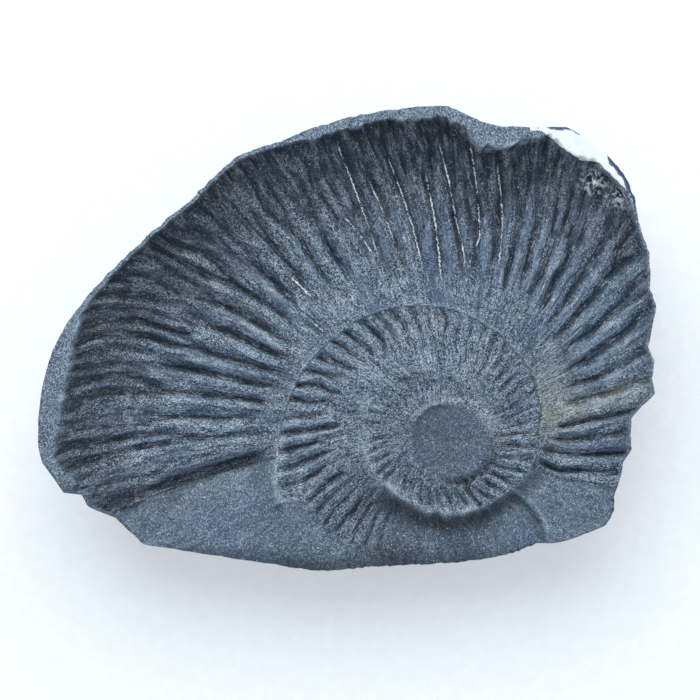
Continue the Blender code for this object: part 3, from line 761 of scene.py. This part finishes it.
# Colours of the finish, as linear red, green and blue
shaleLook = {
    "mid": (0.050, 0.073, 0.105),
    "deep": (0.009, 0.012, 0.018),
    "pale": (0.258, 0.328, 0.412),
    "grain": (0.300, 0.375, 0.455),
    "blue": (0.045, 0.076, 0.136),
    "green": (0.053, 0.077, 0.098),
    "worn": (0.083, 0.115, 0.148),
    "shadedSide": (0.033, 0.055, 0.106),
    "facet": (0.045, 0.058, 0.070),
    "shadeBrown": (0.019, 0.021, 0.026),
    "plug": (0.041, 0.059, 0.086),
    "rim": (0.078, 0.107, 0.143),
    "calcite": (0.64, 0.675, 0.67),
    "ochre": (0.265, 0.268, 0.195),
    "chip": (0.030, 0.045, 0.125),
    "chalk": (0.56, 0.63, 0.70),
    "speck": (0.52, 0.59, 0.66),
    "grainSize": 0.00015,
}


# The shale: a mottled slate colour with painted shade in hollows, grooves and on sides facing away from the light,
# paler on crests and painted lighter on sides facing it, with fine light specks and painted glints, dust, chalk lines
# and the calcite vein laid over it, and a bump of the same fine grain
def shaleFinish():
    material = bpy.data.materials.new("blackShale")
    material.use_nodes = True
    tree = material.node_tree
    shader = tree.nodes["Principled BSDF"]
    place = addNode(tree, "ShaderNodeTexCoord").outputs["Object"]
    look = shaleLook

    broad = noiseOf(tree, place, 90.0, 3.0, 0.6)
    mottle = noiseOf(tree, place, 700.0, 3.0, 0.65)
    clumps = noiseOf(tree, place, 1700.0, 2.0, 0.6)
    grain, sparkle = grainsOf(tree, place, 1.0 / look["grainSize"])
    ribPlace = addNode(tree, "ShaderNodeCombineXYZ", {}, {
        "X": fieldOf(tree, "acrossRib"), "Y": fieldOf(tree, "alongRib")}).outputs["Vector"]
    streaks = noiseOf(tree, ribPlace, 14.0, 3.0, 0.6)
    polished = sums(tree, "MULTIPLY_ADD", fieldOf(tree, "sleek"), 0.20, noiseOf(tree, ribPlace, 2.8, 2.0))
    polished = ramp(tree, polished, 0.49, 0.61)
    polished = sums(tree, "MULTIPLY", polished, fieldOf(tree, "onRibs"))

    color = blendColor(tree, ramp(tree, broad, 0.35, 0.65), look["blue"], look["green"])
    color = blendColor(tree, ramp(tree, mottle, 0.30, 0.70, 0.0, 0.6), color, look["mid"])
    # Painted light and shade by which way the surface faces: the pale worn colour shows only on sides facing up the
    # picture, towards the light, and a dark blue is painted on sides facing down, away from it
    open = ramp(tree, fieldOf(tree, "shadedSide"), 0.10, 0.45, 1.0, 0.0)
    worn = sums(tree, "MULTIPLY", fieldOf(tree, "worn"), ramp(tree, mottle, 0.32, 0.62, 0.35, 1.0))
    worn = sums(tree, "MULTIPLY", worn, open)
    color = blendColor(tree, worn, color, look["worn"])
    color = blendColor(tree, sums(tree, "MULTIPLY", polished, 0.55), color, look["blue"])
    color = blendColor(tree, sums(tree, "MULTIPLY_ADD", open, -0.60, 0.60), color, look["shadedSide"])
    color = blendColor(tree, sums(tree, "MULTIPLY", fieldOf(tree, "facet"), 0.9), color, look["facet"])
    flecks = ramp(tree, noiseOf(tree, place, 1250.0, 3.0, 0.7), 0.38, 0.62, -1.0, 1.0)
    flecks = sums(tree, "MULTIPLY", flecks, fieldOf(tree, "flecks"))
    color = blendColor(tree, sums(tree, "MULTIPLY", flecks, -0.45), color, look["deep"])
    color = blendColor(tree, sums(tree, "MULTIPLY", flecks, 0.30), color, look["pale"])
    # Painted shade in the hollows and along the grooves; paler on crests that stand proud
    hollow = ramp(tree, fieldOf(tree, "proud"), 0.02, -0.34, 0.0, 0.55)
    hollow = sums(tree, "MAXIMUM", hollow, sums(tree, "MULTIPLY", fieldOf(tree, "gutter"), ramp(
        tree, mottle, 0.35, 0.65, 0.75, 0.50)))
    crest = ramp(tree, fieldOf(tree, "proud"), 0.05, 0.35, 0.0, 0.25)
    color = blendColor(tree, hollow, color, look["deep"])
    color = blendColor(tree, crest, color, look["pale"])
    color = blendColor(tree, sums(tree, "MULTIPLY", fieldOf(tree, "smoothLand"), 0.45), color, look["rim"])
    color = blendColor(tree, sums(tree, "MULTIPLY", fieldOf(tree, "flatRim"), 0.8), color, look["rim"])
    # Painted shade, in a dark brownish colour
    color = blendColor(tree, fieldOf(tree, "shade"), color, look["shadeBrown"])
    color = blendColor(tree, sums(tree, "MULTIPLY", fieldOf(tree, "plug"), 0.8), color, look["plug"])
    streakShare = sums(tree, "MULTIPLY", ramp(tree, streaks, 0.50, 0.66, 0.0, 0.55), fieldOf(tree, "speckle"))
    color = blendColor(tree, streakShare, color, look["deep"])
    paleStreak = sums(tree, "MULTIPLY", ramp(tree, streaks, 0.44, 0.34, 0.0, 0.35), fieldOf(tree, "speckle"))
    color = blendColor(tree, paleStreak, color, look["pale"])
    # Pale along edges: wear, and painted highlight on edges facing the light
    edgeShare = sums(tree, "MULTIPLY", fieldOf(tree, "edgeWearAndHighlight"), ramp(tree, mottle, 0.38, 0.60, 0.15, 0.85))
    color = blendColor(tree, edgeShare, color, look["pale"])

    onBack = sums(tree, "SUBTRACT", 1.0, fieldOf(tree, "splitFace"))
    stain = noiseOf(tree, place, 55.0, 5.0, 0.6)
    color = blendColor(tree, sums(tree, "MULTIPLY", onBack, ramp(tree, stain, 0.48, 0.62, 0.0, 0.60)), color, look["deep"])
    color = blendColor(tree, sums(tree, "MULTIPLY", onBack, ramp(tree, stain, 0.46, 0.34, 0.0, 0.18)), color, look["pale"])
    rough = sums(tree, "MAXIMUM", sums(tree, "MULTIPLY_ADD", fieldOf(tree, "worn"), 0.45, 0.55), edgeShare)
    rough = sums(tree, "MULTIPLY", rough, ramp(tree, clumps, 0.30, 0.62, 0.5, 1.0))
    rough = sums(tree, "MULTIPLY", rough, ramp(tree, fieldOf(tree, "plug"), 0.0, 1.0, 1.0, 0.8))
    rough = sums(tree, "MULTIPLY", rough, ramp(tree, fieldOf(tree, "speckle"), 0.35, 1.0, 0.88, 1.15))
    rough = sums(tree, "MULTIPLY", rough, ramp(tree, polished, 0.0, 1.0, 1.0, 0.5))
    # Fewer grains on the sides facing away from the light: painted shade
    rough = sums(tree, "MULTIPLY", rough, ramp(tree, fieldOf(tree, "shadedSide"), 0.10, 0.60, 1.0, 0.65))
    dust = sums(tree, "MULTIPLY", fieldOf(tree, "ochre"), ramp(tree, mottle, 0.30, 0.70, 0.40, 0.90))
    color = blendColor(tree, dust, color, look["ochre"])
    darkGrain = sums(tree, "MULTIPLY", ramp(tree, grain, 0.48, 0.16, 0.0, 1.0), rough)
    color = blendColor(tree, darkGrain, color, look["deep"])
    paleGrain = sums(tree, "MULTIPLY", ramp(tree, grain, 0.56, 0.86, 0.0, 1.0), rough)
    # Fewer pale grains in hollows and in the painted shade
    paleGrain = sums(tree, "MULTIPLY", paleGrain, ramp(tree, fieldOf(tree, "proud"), -0.30, 0.06, 0.40, 1.0))
    paleGrain = sums(tree, "MULTIPLY", paleGrain, ramp(tree, fieldOf(tree, "shade"), 0.0, 1.0, 1.0, 0.35))
    color = blendColor(tree, paleGrain, color, look["grain"])
    # Sparse white specks among the grains: painted glints of mica
    speckShare = sums(tree, "MULTIPLY", ramp(tree, sparkle, 0.975, 0.992, 0.0, 0.7), ramp(tree, clumps, 0.42, 0.62))
    color = blendColor(tree, speckShare, color, look["speck"])
    # A thin dark line in each groove: painted shade
    acrossGroove = sums(tree, "ABSOLUTE", sums(tree, "ADD", fieldOf(tree, "wave"), sums(
        tree, "MULTIPLY_ADD", clumps, 0.5, -0.25)))
    cutLine = sums(tree, "MULTIPLY", ramp(tree, acrossGroove, 0.36, 0.08, 0.0, 0.78), fieldOf(tree, "cut"))
    cutLine = sums(tree, "MULTIPLY", cutLine, ramp(tree, noiseOf(tree, place, 480.0, 2.0), 0.38, 0.54, 0.2, 1.0))
    color = blendColor(tree, cutLine, color, look["deep"])
    fineLine = ramp(tree, sums(tree, "ABSOLUTE", sums(tree, "SUBTRACT", streaks, 0.47)), 0.020, 0.0, 0.0, 0.7)
    fineLine = sums(tree, "MULTIPLY", fineLine, ramp(tree, noiseOf(tree, place, 260.0, 2.0), 0.47, 0.57))
    fineLine = sums(tree, "MULTIPLY", fineLine, ramp(tree, fieldOf(tree, "shade"), 0.0, 0.8, 1.0, 0.3))
    color = blendColor(tree, sums(tree, "MULTIPLY", fineLine, fieldOf(tree, "speckle")), color, look["speck"])
    worms = sums(tree, "ABSOLUTE", sums(tree, "SUBTRACT", noiseOf(tree, place, 2300.0, 2.0, 0.6), 0.5))
    crustPlace = sums(tree, "MAXIMUM", fieldOf(tree, "crust"), sums(
        tree, "MULTIPLY", ramp(tree, noiseOf(tree, ribPlace, 6.0, 2.0), 0.54, 0.64, 0.0, 0.65), fieldOf(tree, "speckle")))
    crust = sums(tree, "MULTIPLY", ramp(tree, worms, 0.045, 0.008), crustPlace)
    color = blendColor(tree, sums(tree, "MULTIPLY", crust, 0.75), color, look["speck"])
    lumps = noiseOf(tree, place, 1050.0, 3.0, 0.65)
    crumbs = sums(tree, "MULTIPLY", fieldOf(tree, "crumbs"), ramp(tree, sums(
        tree, "MULTIPLY_ADD", grain, 0.06, lumps), 0.52, 0.58))
    color = blendColor(tree, crumbs, color, look["chalk"])
    color = blendColor(tree, fieldOf(tree, "chip"), color, look["chip"])

    wobble = sums(tree, "MULTIPLY_ADD", noiseOf(tree, place, 1900.0, 3.0, 0.7), 0.8, -0.4)
    fromLine = sums(tree, "ABSOLUTE", sums(tree, "ADD", fieldOf(tree, "chalkLine"), wobble))
    # Painted shade in the grooves along the chalk lines
    gutter = sums(tree, "MULTIPLY", ramp(tree, fromLine, 0.95, 0.20, 0.0, 0.5), fieldOf(tree, "chalk"))
    color = blendColor(tree, gutter, color, look["deep"])
    line = ramp(tree, fromLine, 0.14, 0.04, 0.0, 0.95)
    broken = ramp(tree, sums(tree, "MULTIPLY_ADD", grain, 0.25, noiseOf(tree, place, 600.0, 2.0)), 0.50, 0.68)
    line = sums(tree, "MULTIPLY", sums(tree, "MULTIPLY", line, broken), fieldOf(tree, "chalk"))
    color = blendColor(tree, line, color, look["chalk"])

    vein = sums(tree, "ADD", fieldOf(tree, "calcite"), sums(
        tree, "MULTIPLY_ADD", noiseOf(tree, place, 1100.0, 3.0), 0.9, -0.45))
    veinShare = ramp(tree, vein, -0.05, 0.12)
    veinColor = blendColor(tree, ramp(tree, mottle, 0.3, 0.7), look["calcite"], (0.54, 0.59, 0.58))
    color = blendColor(tree, veinShare, color, veinColor)
    tree.links.new(color, shader.inputs["Base Color"])

    gloss = ramp(tree, grain, 0.0, 1.0, 0.74, 0.50)
    gloss = sums(tree, "SUBTRACT", gloss, sums(tree, "MULTIPLY", veinShare, 0.2))
    tree.links.new(gloss, shader.inputs["Roughness"])
    shader.inputs["Specular IOR Level"].default_value = 0.2

    relief = sums(tree, "ADD", sums(tree, "MULTIPLY", clumps, 0.55), sums(tree, "MULTIPLY", streaks, 1.1))
    relief = sums(tree, "ADD", relief, sums(tree, "MULTIPLY", mottle, 0.8))
    relief = sums(tree, "MULTIPLY", relief, ramp(tree, veinShare, 0.0, 1.0, 1.0, 0.35))
    strength = ramp(tree, fieldOf(tree, "speckle"), 0.0, 1.0, 0.35, 0.9)
    bump = addNode(tree, "ShaderNodeBump", {}, {"Height": relief, "Strength": strength, "Distance": 0.00046})
    tree.links.new(bump.outputs["Normal"], shader.inputs["Normal"])
    return material


points, triangles, fields, faceCount = stoneShape()
stone = meshObject("ammoniteStone", points / 1000.0, triangles)
normals = np.empty(len(points) * 3, np.float32)
stone.data.vertices.foreach_get("normal", normals)
points = roughenBack(points, normals.reshape(-1, 3), faceCount)
stone.data.vertices.foreach_set("co", (points / 1000.0).astype(np.float32).ravel())
stone.data.update()
faceSide = stonePlan["faceSteps"] + 1
fields["proud"] = standProud(points[:faceCount, 2].reshape(faceSide, faceSide), 24)
# How far each point of the face faces down the picture, away from the light: the sides given painted shade
fields["shadedSide"] = np.clip(-normals.reshape(-1, 3)[:faceCount, 1], 0.0, 1.0)  # how far it faces down the picture
backFields = {"speckle": 0.8, "calcite": -5.0, "chalkLine": 1.0, "wave": 1.0, "worn": 0.25}
for fieldName in fields:
    storeField(stone.data, fieldName, fields[fieldName], backFields.get(fieldName, 0.0))
stone.data.materials.append(shaleFinish())
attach(stone, "root")
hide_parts("ammonite_stone")
print("stone made,", len(points), "points and", len(triangles), "triangles")


# The pale floor: one large square, faintly uneven, with a painted glow of its own that lifts its shadows
floorLook = {"color": (0.535, 0.547, 0.565), "paintedGlow": 0.325, "halfSide": 2.5, "roughness": 0.9}


def floorFinish():
    material = bpy.data.materials.new("paleFloor")
    material.use_nodes = True
    tree = material.node_tree
    shader = tree.nodes["Principled BSDF"]
    place = addNode(tree, "ShaderNodeTexCoord").outputs["Object"]
    fine = noiseOf(tree, place, 420.0, 4.0, 0.7)
    r, g, b = floorLook["color"]
    color = blendColor(tree, ramp(tree, fine, 0.36, 0.64), (r * 0.94, g * 0.95, b * 0.965), (r, g, b))
    tree.links.new(color, shader.inputs["Base Color"])
    shader.inputs["Roughness"].default_value = floorLook["roughness"]
    # Painted glow: the floor gives off a little light, though it is no lamp
    shader.inputs["Emission Color"].default_value = (0.97, 0.99, 1.0, 1.0)
    shader.inputs["Emission Strength"].default_value = floorLook["paintedGlow"]
    bump = addNode(tree, "ShaderNodeBump", {}, {"Height": fine, "Strength": 0.35, "Distance": 0.0003})
    tree.links.new(bump.outputs["Normal"], shader.inputs["Normal"])
    return material


half = floorLook["halfSide"]
floorCorners = np.array([(-half, -half, 0), (half, -half, 0), (half, half, 0), (-half, half, 0)])
floor = meshObject("floor", floorCorners, np.array([(0, 1, 2), (0, 2, 3)]))
floor.data.materials.append(floorFinish())
print("floor made")

# Straight above, with a long lens, so that the picture's pixels fall where they were read
cameraPlan = {
    "side": 700,                # pixels across the picture
    "mmPerPixel": 0.16234,
    "pixelOfOriginX": 347.4,
    "pixelOfOriginY": 340.2,
    "lens": 250.0,
    "sensor": 36.0,
    "focusBelowSplit": 4.0,
}


def placeCamera():
    camera = bpy.data.objects.new("camera", bpy.data.cameras.new("camera"))
    bpy.context.scene.collection.objects.link(camera)
    bpy.context.scene.camera = camera
    plan = cameraPlan
    camera.data.lens = plan["lens"]
    camera.data.sensor_width = plan["sensor"]
    camera.data.clip_end = 20.0
    span = plan["side"] * plan["mmPerPixel"]
    x = (plan["side"] / 2 - plan["pixelOfOriginX"]) * plan["mmPerPixel"]
    y = (plan["pixelOfOriginY"] - plan["side"] / 2) * plan["mmPerPixel"]
    z = stonePlan["splitHeight"] - plan["focusBelowSplit"] + span * plan["lens"] / plan["sensor"]
    camera.location = (x / 1000.0, y / 1000.0, z / 1000.0)


# A broad soft light from the top of the picture, and an even bluish sky
lightPlan = {
    "azimuth": 97.0,
    "elevation": 50.0,
    "distance": 0.50,
    "size": 0.56,
    "power": 3.05,
    "color": (0.95, 0.98, 1.0),
    "sky": 0.86,
    "skyColor": (0.84, 0.92, 1.0),
}


def placeLights():
    plan = lightPlan
    key = bpy.data.objects.new("keyLight", bpy.data.lights.new("keyLight", "AREA"))
    bpy.context.scene.collection.objects.link(key)
    key.data.shape = "DISK"
    key.data.size = plan["size"]
    key.data.energy = plan["power"]
    key.data.color = plan["color"]
    turn, lift = math.radians(plan["azimuth"]), math.radians(plan["elevation"])
    key.location = (plan["distance"] * math.cos(lift) * math.cos(turn),
                    plan["distance"] * math.cos(lift) * math.sin(turn), plan["distance"] * math.sin(lift))
    key.rotation_euler = (-key.location).to_track_quat("-Z", "Y").to_euler()
    world = bpy.data.worlds.new("sky")
    world.use_nodes = True
    backdrop = world.node_tree.nodes["Background"]
    backdrop.inputs["Color"].default_value = (*plan["skyColor"], 1.0)
    backdrop.inputs["Strength"].default_value = plan["sky"]
    bpy.context.scene.world = world


placeCamera()
placeLights()
bpy.context.scene.view_settings.view_transform = "Standard"
print("camera and lights placed")
